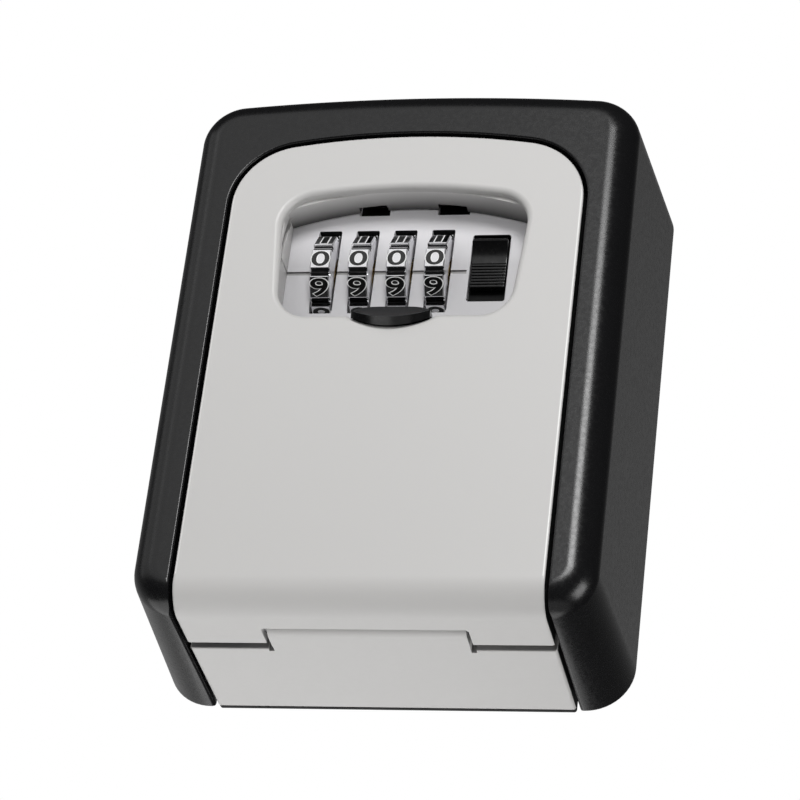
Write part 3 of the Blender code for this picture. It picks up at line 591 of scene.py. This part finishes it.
def make_door():
    ends = [(BEND_HALF - depth, inset) for depth, inset in round_steps(BEND_EDGE)]
    rings = [(-x, inset) for x, inset in ends] + [(x, inset) for x, inset in reversed(ends)]
    folded = [[(x, y, z) for y, z in door_profile(inset)] for x, inset in rings]
    door = Sculpt("door_skin", loft(folded))
    door.step(slab_y(door_outline, FRONT_Y, 0.0, DOOR_EDGE), "INTERSECT")
    hollow = door.cut(prism_x(door_profile(DOOR_FRONT_WALL, 0.0), -0.05, 0.05))
    door.step(prism_y(door_outline(-DOOR_WALL), -0.06, 0.01), "INTERSECT", hollow)
    door.weld(prism_y(cavity_outline(RECESS_WALL), FRONT_Y + 0.001, FASCIA_Y - 0.0002))
    for side in (-1, 1):
        near, far = sorted((side * GUIDE_RAIL_X[0], side * GUIDE_RAIL_X[1]))
        door.weld(block(near, far, FRONT_Y + 0.001, GUIDE_RAIL_Y, *GUIDE_RAIL_Z))
        near, far = sorted((side * EAR_X[0], side * EAR_X[1]))
        door.weld(rod_x(PIN_Y, PIN_Z, BARREL, near, far))
    for x, z in COVER_SCREWS:
        door.weld(rod_y(x, z, COVER_BOSS_RADIUS, FRONT_Y + 0.001, COVER_BOSS_Y))
        door.cut(rod_y(x, z, SCREW_RADIUS, -0.026, 0.0))
    door.cut(flared_y(window_outline, FRONT_Y, LIP_BACK_Y + 0.0001, WINDOW_FILLET))
    door.cut(prism_y(cavity_outline(), LIP_BACK_Y, -0.03))
    door.cut(prism_y(cavity_outline(rise=0.0007), FASCIA_Y - 0.0005, -0.03))
    # The index groove runs on along the recess's left wall.
    wall_x, mark = -CAVITY_HALF, 0.0002
    mark_z = (GROOVE_Z - mark, GROOVE_Z + mark)
    door.cut(block(wall_x - mark, wall_x + 0.001, LIP_BACK_Y + 0.0005, -0.03, *mark_z))
    # Room for the shutter's travel, and for the guide behind it.
    sweep = SHUTTER_THICK / 2 + GAP
    radii = (SHUTTER_RADIUS - sweep, SHUTTER_RADIUS + sweep)
    door.cut(sector(*radii, *SHUTTER_SWEEP, SHUTTER_HALF + GAP, 40))
    door.cut(sector(0.040, SHUTTER_RADIUS - SHUTTER_THICK / 2 - 0.0001, SHUTTER_SWEEP[0], -5, 0.0305))
    for low, high in NOTCHES:
        door.cut(block(low, high, NOTCH_FRONT_Y, -0.03, 0.034, 0.0385))
    notch = rounded_rectangle(-TAB_NOTCH_HALF, TAB_NOTCH_HALF, TAB_NOTCH_Y, 0.01, 0.0008)
    door.cut(loft([[(x, y, z) for x, y in notch] for z in (-0.07, -0.0535)]))
    door.cut(rod_x(PIN_Y, PIN_Z, PIN_RADIUS + 0.0002, -0.03, 0.03))
    piece = dress(door.finish(), DOOR_GREY_PAINTED_SHADE, "door", ["door_panel"])

    def on_edge(at, facing):
        side = abs(at.x) > DOOR_HALF - 0.0002 or (at.z > 0.03 and facing.z > 0.1 and at.y < -0.03)
        return side and FRONT_Y + 0.0005 < at.y and abs(facing.y) < 0.3 and at.z > BOTTOM_Z + 0.0005

    def on_ceiling(at, facing):
        over = facing.z < -0.6 and at.z > 0.030
        return over and abs(at.x) < CAVITY_HALF and LIP_BACK_Y < at.y < FASCIA_Y

    def in_notch(at, facing):
        return abs(at.x) < 0.0115 and at.y > NOTCH_FRONT_Y - 0.0001 and 0.0352 < at.z < 0.0386

    def on_highlit_round(at, facing):
        near_rim = abs(at.x) > DOOR_HALF - 0.0006
        turned = 0.15 < abs(facing.x) + abs(facing.z) and facing.y < -0.05
        return turned and near_rim and at.y < LIP_BACK_Y - 0.0002 and at.z > BOTTOM_Z + 0.007

    tint(piece, SEAM_SHADE, on_edge)
    # Painted highlight: the door's rounded side edges are painted lighter, as bright edge lines.
    tint(piece, EDGE_PAINTED_HIGHLIGHT, on_highlit_round)
    # Painted shade on the recess ceiling.
    tint(piece, CEILING_PAINTED_SHADE, on_ceiling)
    # Painted shade: the faces inside the door's top notches are painted black.
    tint(piece, INNER_BLACK, in_notch)


def make_fascia():
    low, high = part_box("dial_fascia")
    plate = grown_rectangle(low[0], high[0], low[2], high[2], 0.002)
    fascia = Sculpt("fascia_skin", slab_y(plate, FASCIA_Y, FASCIA_BACK_Y, 0.0003))
    half = SLOT_WIDTH / 2
    for x in DIAL_X:
        slot = grown_rectangle(x - half, x + half, SLOT_LOW, SLOT_HIGH, 0.0003)
        fascia.cut(flared_y(slot, FASCIA_Y, -0.03, 0.00015, 3))
        # The chamfer at the slot's foot.
        foot = [
            (FASCIA_Y - 0.001, SLOT_LOW - 0.0010),
            (FASCIA_Y - 0.001, SLOT_LOW + 0.001),
            (FASCIA_Y + 0.0010, SLOT_LOW + 0.001),
            (FASCIA_Y + 0.0010, SLOT_LOW),
            (FASCIA_Y, SLOT_LOW - 0.0005),
        ]
        fascia.cut(prism_x(foot, x - half + 0.0001, x + half - 0.0001))
    for low, high in NOTCHES:
        fascia.cut(block(low - 0.0003, high + 0.0003, -0.04, -0.03, CAVITY_TOP - 0.0012, 0.04))
    slot = grown_rectangle(*BUTTON_SLOT_X, *BUTTON_SLOT_Z, 0.0005)
    fascia.cut(flared_y(slot, FASCIA_Y, -0.03, 0.0002, 3))
    # Index groove at the reading line, from the left wall nearly to the button.
    floor_y, lip = FASCIA_Y + GROOVE_DEPTH, GROOVE_HALF + 0.00012
    groove = [
        (FASCIA_Y - 0.001, GROOVE_Z - lip - 0.0003),
        (FASCIA_Y, GROOVE_Z - lip),
        (floor_y, GROOVE_Z - GROOVE_HALF),
        (floor_y, GROOVE_Z + GROOVE_HALF),
        (FASCIA_Y - 0.001, GROOVE_Z + GROOVE_HALF),
    ]
    fascia.cut(prism_x(groove, -0.0300, GROOVE_END))
    # The fascia's tone gradient is painted light.
    piece = dress(fascia.finish(), FASCIA_PAINTED_LIGHT, "door", ["dial_fascia"])

    def slot_top(at, facing):
        return facing.z < -0.6 and 0.028 < at.z < 0.031

    def in_groove_wall(at, facing):
        inside = at.y > FASCIA_Y + 0.0001 and abs(at.z - GROOVE_Z) < GROOVE_HALF + 0.0001
        return inside and facing.z < 0.3 and at.x < GROOVE_END and abs(facing.x) < 0.1

    # Painted shade: the slots' top walls are painted black.
    tint(piece, INNER_BLACK, slot_top)
    # Painted shade on the index groove's walls.
    tint(piece, GROOVE_PAINTED_SHADE, in_groove_wall)


def make_shutter():
    columns, rows = 60, 30
    inner, outer = SHUTTER_RADIUS - SHUTTER_THICK / 2, SHUTTER_RADIUS + SHUTTER_THICK / 2
    solid = bmesh.new()
    skins = []
    for radius in (inner, outer):
        skin = []
        for c in range(columns + 1):
            x = SHUTTER_HALF * (2 * c / columns - 1)
            drop = math.degrees(x * x / (2 * CAVITY_ARCH) / SHUTTER_RADIUS)
            reach = SHUTTER_HIGH - drop - SHUTTER_LOW
            angles = [math.radians(SHUTTER_LOW + reach * r / rows) for r in range(rows + 1)]
            arch = [(SHUTTER_Y - radius * math.cos(a), SHUTTER_Z + radius * math.sin(a)) for a in angles]
            skin.append([solid.verts.new((x, y, z)) for y, z in arch])
        skins.append(skin)
    for skin in skins:
        for c in range(columns):
            for r in range(rows):
                solid.faces.new((skin[c][r], skin[c + 1][r], skin[c + 1][r + 1], skin[c][r + 1]))
    edge = (
        [(c, 0) for c in range(columns)]
        + [(columns, r) for r in range(rows)]
        + [(c, rows) for c in range(columns, 0, -1)]
        + [(0, r) for r in range(rows, 0, -1)]
    )
    for (c, r), (c2, r2) in zip(edge, edge[1:] + edge[:1]):
        solid.faces.new((skins[0][c][r], skins[0][c2][r2], skins[1][c2][r2], skins[1][c][r]))
    bmesh.ops.recalc_face_normals(solid, faces=solid.faces)
    shutter = Sculpt("shutter_skin", solid)
    # The finger lip: a hollow upper face down to a sharp crease, and an under face back to the skin.
    rings = []
    steps = 40
    for n in range(steps + 1):
        across = 2 * n / steps - 1
        end, far_end = across**2, across**4
        rim = (-0.0445, 0.00645 - 0.00085 * far_end)
        crease = (-0.0469 + 0.0019 * end, 0.00255 + 0.0026 * end)
        hollow = ((rim[0] + crease[0]) / 2 + 0.0002, (rim[1] + crease[1]) / 2 - 0.0002)
        section = [(-0.0426, 0.0060 - 0.0006 * far_end), rim, hollow, crease]
        section += [
            (-0.0452 + 0.0006 * end, 0.0016 + 0.0021 * end),
            (-0.0444, 0.0022 + 0.0020 * end),
            (-0.0426, 0.0033 + 0.0016 * end),
        ]
        rings.append([(LIP_HALF * across, y, z) for y, z in section])
    shutter.weld(loft(rings))
    piece = dress(shutter.finish(), BUTTON_BLACK, "shutter", ["dial_shutter"], 28)
    # Painted sheen: the finger lip's upward faces are painted a lighter black.
    tint(piece, LIP_PAINTED_SHEEN, lambda at, facing: facing.z > 0.2 and at.y < -0.0444 and abs(at.x) < LIP_HALF)


# ---------------------------------------------------------------- dials and button

PAD_FACE = 0.00962  # distance of each flat pad from the dial's axis
PAD_HALF = 0.0022
PAD_BASE = 0.0089
RIDGE = 0.00935
DIGIT_HEIGHT, DIGIT_WIDTH, DIGIT_ROOT, DIGIT_RISE = 0.0036, 0.0037, 0.0001, 0.00002
# Extra stroke of the inlay and of its bright rim, which is a painted highlight, in shares of the digit's
# size.
DIGIT_WEIGHT, DIGIT_EDGE = 0.014, 0.026
# The ridge in the gap after each pad: radius, and degrees past the pad's middle.
GAP_PROFILE = (
    (PAD_BASE, 15.5),
    (PAD_BASE, 16.8),
    (RIDGE, 17.2),
    (RIDGE, 18.8),
    (PAD_BASE, 19.2),
    (PAD_BASE, 20.5),
)
# Each rib of the button: depth behind its face, and height as a share of the pitch.
RIB_PROFILE = (
    (0.00028, 0.04),
    (0.00004, 0.22),
    (0.0, 0.36),
    (0.0, 0.64),
    (0.00004, 0.78),
    (0.00028, 0.96),
)


def rim_outline():
    """Ten flat pads with round shoulders and a small ridge in each gap, in (y, z)."""
    points = []
    for n in range(10):
        middle = math.radians(180 + 36 * n)
        along = Vector((math.cos(middle), math.sin(middle)))
        across = Vector((-math.sin(middle), math.cos(middle)))
        shape = [
            (PAD_FACE - 0.0007, -PAD_HALF),
            (PAD_FACE - 0.00012, -PAD_HALF),
            (PAD_FACE, -PAD_HALF + 0.00012),
            (PAD_FACE, PAD_HALF - 0.00012),
            (PAD_FACE - 0.00012, PAD_HALF),
            (PAD_FACE - 0.0007, PAD_HALF),
        ]
        points += [Vector((DIAL_Y, DIAL_Z)) + along * out + across * side for out, side in shape]
        for radius, turn in GAP_PROFILE:
            angle = middle + math.radians(turn)
            points.append(Vector((DIAL_Y + radius * math.cos(angle), DIAL_Z + radius * math.sin(angle))))
    return points


def digit_mesh(digit, floor, top, edge=0.0):
    """One digit as a solid on the front pad, spun round to its own pad; edge makes its strokes wider."""
    curve = bpy.data.curves.new("digit", "FONT")
    curve.body = str(digit)
    curve.align_x, curve.align_y = "CENTER", "CENTER"
    curve.size = 1.0
    curve.resolution_u = 5
    curve.extrude = 0.5
    curve.offset = DIGIT_WEIGHT
    plain = curve_size(curve)
    curve.offset = DIGIT_WEIGHT + edge
    solid = bmesh.new()
    solid.from_mesh(curve_mesh(curve))
    bmesh.ops.remove_doubles(solid, verts=solid.verts, dist=1e-5)
    xs = [v.co.x for v in solid.verts]
    ys = [v.co.y for v in solid.verts]
    middle_x, middle_y = (min(xs) + max(xs)) / 2, (min(ys) + max(ys)) / 2
    wide = DIGIT_WIDTH * (0.34 if digit == 1 else 1.0)
    spin = Matrix.Rotation(math.radians(-36 * digit), 3, "X")
    for vert in solid.verts:
        x = (vert.co.x - middle_x) / plain[0] * wide
        z = (vert.co.y - middle_y) / plain[1] * DIGIT_HEIGHT
        vert.co = spin @ Vector((x, -(PAD_FACE + (top if vert.co.z > 0 else floor)), z))
    bmesh.ops.translate(solid, verts=solid.verts, vec=(0, DIAL_Y, DIAL_Z))
    bmesh.ops.recalc_face_normals(solid, faces=solid.faces)
    return solid


def digit_layer(floor, top, edge):
    """All ten digits as one mesh, for the inlays."""
    layer = bmesh.new()
    for digit in range(10):
        inlay = digit_mesh(digit, floor, top, edge)
        part = bpy.data.meshes.new("inlay")
        inlay.to_mesh(part)
        inlay.free()
        layer.from_mesh(part)
    mesh = bpy.data.meshes.new("layer")
    layer.to_mesh(mesh)
    layer.free()
    return mesh


def curve_mesh(curve):
    text = bpy.data.objects.new("digit", curve)
    bpy.context.scene.collection.objects.link(text)
    mesh = bpy.data.meshes.new_from_object(text.evaluated_get(bpy.context.evaluated_depsgraph_get()))
    bpy.data.objects.remove(text, do_unlink=True)
    return mesh


def curve_size(curve):
    spots = [v.co for v in curve_mesh(curve).vertices]
    return [max(p[n] for p in spots) - min(p[n] for p in spots) for n in (0, 1)]


def in_groove(at):
    return DIAL_BORE + 0.001 < math.hypot(at.y - DIAL_Y, at.z - DIAL_Z) < RIDGE - 0.0001


def make_dials():
    half = DIAL_WIDTH / 2
    stations = [(-half, 0.00025), (-half + 0.0002, 0.0), (half - 0.0002, 0.0), (half, 0.00025)]
    centre = Vector((DIAL_Y, DIAL_Z))
    rings = []
    for x, inset in stations:
        ring = [centre + (p - centre) * (1 - inset / DIAL_RADIUS) for p in rim_outline()]
        rings.append([(x, p.x, p.y) for p in ring])
    dial = Sculpt("dial_pattern", loft(rings))
    dial.cut(rod_x(DIAL_Y, DIAL_Z, DIAL_BORE, -0.01, 0.01))
    pattern = dial.finish()
    # The rims are a painted highlight: a light outline round each digit, in place of glints on engraved
    # edges.
    glint_mesh = digit_layer(-DIGIT_ROOT, DIGIT_RISE, DIGIT_EDGE)
    ink_mesh = digit_layer(-DIGIT_ROOT, 2.5 * DIGIT_RISE, 0.0)
    for n, x in enumerate(DIAL_X, 1):
        layers = (
            ("skin", pattern.data, CHROME),
            ("painted_glints", glint_mesh, DIGIT_PAINTED_GLINT),
            ("ink", ink_mesh, DIGIT_INK),
        )
        for kind, mesh, material in layers:
            piece = bpy.data.objects.new(f"dial_{n}_{kind}", mesh.copy())
            piece.data.transform(Matrix.Translation((x, 0, 0)))
            bpy.context.scene.collection.objects.link(piece)
            replaced = [f"number_dial_{n}"] if kind == "skin" else []
            dress(piece, material, f"dial_{n}", replaced, 25)
            if kind == "skin":
                tint(piece, DIAL_SIDE, lambda at, facing: abs(facing.x) > 0.9)
                # Painted shade: the grooves between the pads are painted near-black.
                tint(piece, DIAL_GROOVE_PAINTED_SHADE, lambda at, facing: abs(facing.x) < 0.5 and in_groove(at))
    bpy.data.objects.remove(pattern, do_unlink=True)


def make_button():
    low, high = BUTTON_Z
    outline = [(FASCIA_BACK_Y, low)]
    pitch = (RIB_TOP_Z - low) / BUTTON_RIBS
    for n in range(BUTTON_RIBS):
        foot = low + pitch * n
        for y, up in RIB_PROFILE:
            outline.append((BUTTON_FACE_Y + y, foot + pitch * up))
    steps = 14
    rise = high - 0.0007 - RIB_TOP_Z
    outline += [
        (BUTTON_FACE_Y + (BUTTON_LIP_Y - BUTTON_FACE_Y) * (n / steps) ** 2, RIB_TOP_Z + rise * n / steps)
        for n in range(steps + 1)
    ]
    outline += arc(BUTTON_LIP_Y + BUTTON_ROUND, high - BUTTON_ROUND, BUTTON_ROUND, 165, 90, 5)
    outline.append((FASCIA_BACK_Y, high))
    x0, x1 = BUTTON_X
    middle = (BUTTON_FACE_Y + 0.001, (low + high) / 2)
    # The sides' rounds: each ring is the outline, drawn in by inset.
    sections = (
        (x0, 0.00018),
        (x0 + 0.00012, 0.00004),
        (x0 + 0.0003, 0),
        (x1 - 0.0003, 0),
        (x1 - 0.00012, 0.00004),
        (x1, 0.00018),
    )
    rings = []
    for x, inset in sections:
        ring = []
        for y, z in outline:
            back = inset if y < middle[0] else 0
            ring.append((x, y + back, z + math.copysign(inset, middle[1] - z)))
        rings.append(ring)
    dress(new_object("button_skin", loft(rings)), BUTTON_BLACK, "button", ["open_button"], 30)


def make_return_spring():
    """Round wire coil between the lock frame and the latch carriage, built at one fixed length."""
    turns, steps, sides = 7, 28, 8
    count = turns * steps
    mesh = bmesh.new()
    rings = []
    for step in range(count + 1):
        along = math.tau * step / steps
        rise = (COIL_HIGH - COIL_LOW - 2 * COIL_WIRE) * step / count
        ring = []
        for side in range(sides):
            around = math.tau * side / sides
            reach = COIL_RADIUS + COIL_WIRE * math.cos(around)
            height = COIL_LOW + COIL_WIRE + rise + COIL_WIRE * math.sin(around)
            place = (COIL_X + reach * math.cos(along), COIL_Y + reach * math.sin(along), height)
            ring.append(mesh.verts.new(place))
        rings.append(ring)
    for one, two in zip(rings, rings[1:]):
        for side in range(sides):
            after = (side + 1) % sides
            mesh.faces.new((one[side], two[side], two[after], one[after]))
    mesh.faces.new(rings[0])
    mesh.faces.new(list(reversed(rings[-1])))
    bmesh.ops.recalc_face_normals(mesh, faces=mesh.faces)
    data = bpy.data.meshes.new("return_coil")
    mesh.to_mesh(data)
    mesh.free()
    piece = bpy.data.objects.new("return_coil", data)
    bpy.context.scene.collection.objects.link(piece)
    dress(piece, SPRING_STEEL, "door", ["return_spring"], 60)
    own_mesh(piece)


# ---------------------------------------------------------------- carried-over CAD nodes

CARRIED = {
    SHELL_BLACK: ["mechanism_cover"],
    # The lock frame, seen through the dial slots, is black so the slots read dark: a black finish that
    # is also painted shade.
    INNER_BLACK: ["shutter_guide", "code_lever", "lock_frame"],
    # The latch carriage, seen below the button, is painted near-black with little gloss: painted shade.
    LATCH_PAINTED_SHADE: ["latch_carriage"],
    STEEL: ["hinge_pin", "dial_shaft"]
    + [f"{kind}_screw_{n}" for kind in ("shell", "cover") for n in range(1, 5)],
    SPRING_STEEL: ["bolt_spring", "detent_comb"],
    ZINC: ["strike_plate", "gate_fence", "latch_bolt"],
    BRASS: [f"dial_sleeve_{n}" for n in range(1, 5)],
}


def finish_carried():
    for material, names in CARRIED.items():
        for name in names:
            node = frame["nodes"][name]
            node.data.materials.clear()
            node.data.materials.append(material)
            bevel = node.modifiers.new("edges", "BEVEL")
            bevel.width = 0.00015
            bevel.segments = 2
            bevel.limit_method = "ANGLE"
            bevel.angle_limit = math.radians(50)


# ---------------------------------------------------------------- studio and camera


def make_camera():
    azimuth, elevation, roll = (math.radians(a) for a in (14.19, -30.48, 7.08))
    back = Vector((math.sin(azimuth), -math.cos(azimuth), math.tan(elevation))).normalized()
    right = (-back).cross(Vector((0, 0, 1))).normalized()
    up = back.cross(right)
    across = right * math.cos(roll) + up * math.sin(roll)
    upward = up * math.cos(roll) - right * math.sin(roll)
    data = bpy.data.cameras.new("camera")
    data.sensor_width = 36.0
    data.lens = 173.19
    data.shift_x, data.shift_y = -0.0119, 0.0116
    data.clip_start, data.clip_end = 0.01, 10
    camera = bpy.data.objects.new("camera", data)
    place = Vector((0, -0.020, -0.0025)) + back * 0.77779
    turn = Matrix((across, upward, back)).transposed().to_4x4()
    camera.matrix_world = Matrix.Translation(place) @ turn
    bpy.context.scene.collection.objects.link(camera)
    bpy.context.scene.camera = camera


def make_panel(name, toward, distance, size, radiance, mirrored=True):
    """A soft panel that faces the object from a direction."""
    target = Vector((0, -0.02, 0))
    away = Vector(toward).normalized()
    data = bpy.data.lights.new(name, "AREA")
    data.shape = "RECTANGLE"
    data.size, data.size_y = size
    data.energy = radiance * math.pi * size[0] * size[1]
    panel = bpy.data.objects.new(name, data)
    panel.location = target + away * distance
    panel.rotation_euler = away.to_track_quat("Z", "Y").to_euler()
    panel.visible_camera = False
    panel.visible_glossy = mirrored
    bpy.context.scene.collection.objects.link(panel)


# The dim room beyond the panels: direction, sharpness and radiance of each soft glow.
GLOWS = (
    ((-0.10, 0.95, 0.30), 8, 0.50),
    ((-0.78, 0.62, -0.10), 6, 0.50),
    ((0.00, 0.10, -1.00), 6, 0.10),
)


def make_studio():
    make_panel("key", (0.185, -0.90, 0.405), 1.0, (0.33, 0.36), 16.5)
    make_panel("low_fill", (0.90, -0.20, -0.36), 1.0, (0.5, 0.5), 5.6)
    make_panel("low_front", (-0.14, -0.97, -0.16), 1.0, (1.3, 0.32), 1.8, mirrored=False)
    make_panel("fill", (-0.34, -0.80, 0.48), 1.1, (1.1, 1.0), 0.85)
    make_panel("side_fill", (-0.85, -0.35, 0.40), 1.3, (0.9, 0.9), 0.6)
    make_panel("under", (-0.28, 0.30, -1.0), 0.42, (0.62, 0.7), 1.6)
    world = bpy.data.worlds.new("studio")
    bpy.context.scene.world = world
    world.use_nodes = True
    nodes, links = world.node_tree.nodes, world.node_tree.links
    direction = nodes.new("ShaderNodeTexCoord").outputs["Generated"]

    def work(operation, first, second):
        node = nodes.new("ShaderNodeMath")
        node.operation = operation
        for socket, value in zip(node.inputs, (first, second)):
            if isinstance(value, bpy.types.NodeSocket):
                links.new(value, socket)
            else:
                socket.default_value = value
        return node.outputs["Value"]

    room = 0.02
    for toward, sharpness, radiance in GLOWS:
        facing = nodes.new("ShaderNodeVectorMath")
        facing.operation = "DOT_PRODUCT"
        facing.inputs[1].default_value = Vector(toward).normalized()
        links.new(direction, facing.inputs[0])
        lobe = work("POWER", work("MAXIMUM", facing.outputs["Value"], 0.0), sharpness)
        room = work("ADD", work("MULTIPLY", lobe, radiance), room)
    ambient = nodes.new("ShaderNodeBackground")
    links.new(room, ambient.inputs["Strength"])
    backdrop = nodes["Background"]
    backdrop.inputs["Color"].default_value = (1, 1, 1, 1)
    backdrop.inputs["Strength"].default_value = 1.0
    seen = nodes.new("ShaderNodeLightPath")
    mix = nodes.new("ShaderNodeMixShader")
    links.new(seen.outputs["Is Camera Ray"], mix.inputs["Fac"])
    links.new(ambient.outputs["Background"], mix.inputs[1])
    links.new(backdrop.outputs["Background"], mix.inputs[2])
    links.new(mix.outputs["Shader"], nodes["World Output"].inputs["Surface"])
    disc = arc(0, 0.05, 0.36, 0, 360, 96)[:-1]
    floor = new_object("floor", loft([[(x, y, z) for x, y in disc] for z in (-0.47, -0.45)]))
    paper = Shader("floor_paper", (0.82, 0.82, 0.82), 0.7)
    paper.vary_colour(paper.noise(6), 0.02)
    floor.data.materials.append(paper.material)
    bpy.context.scene.view_settings.view_transform = "Standard"


make_shell()
make_tray()
make_gasket()
make_door()
make_fascia()
make_shutter()
make_dials()
make_button()
make_return_spring()
finish_carried()
make_camera()
make_studio()
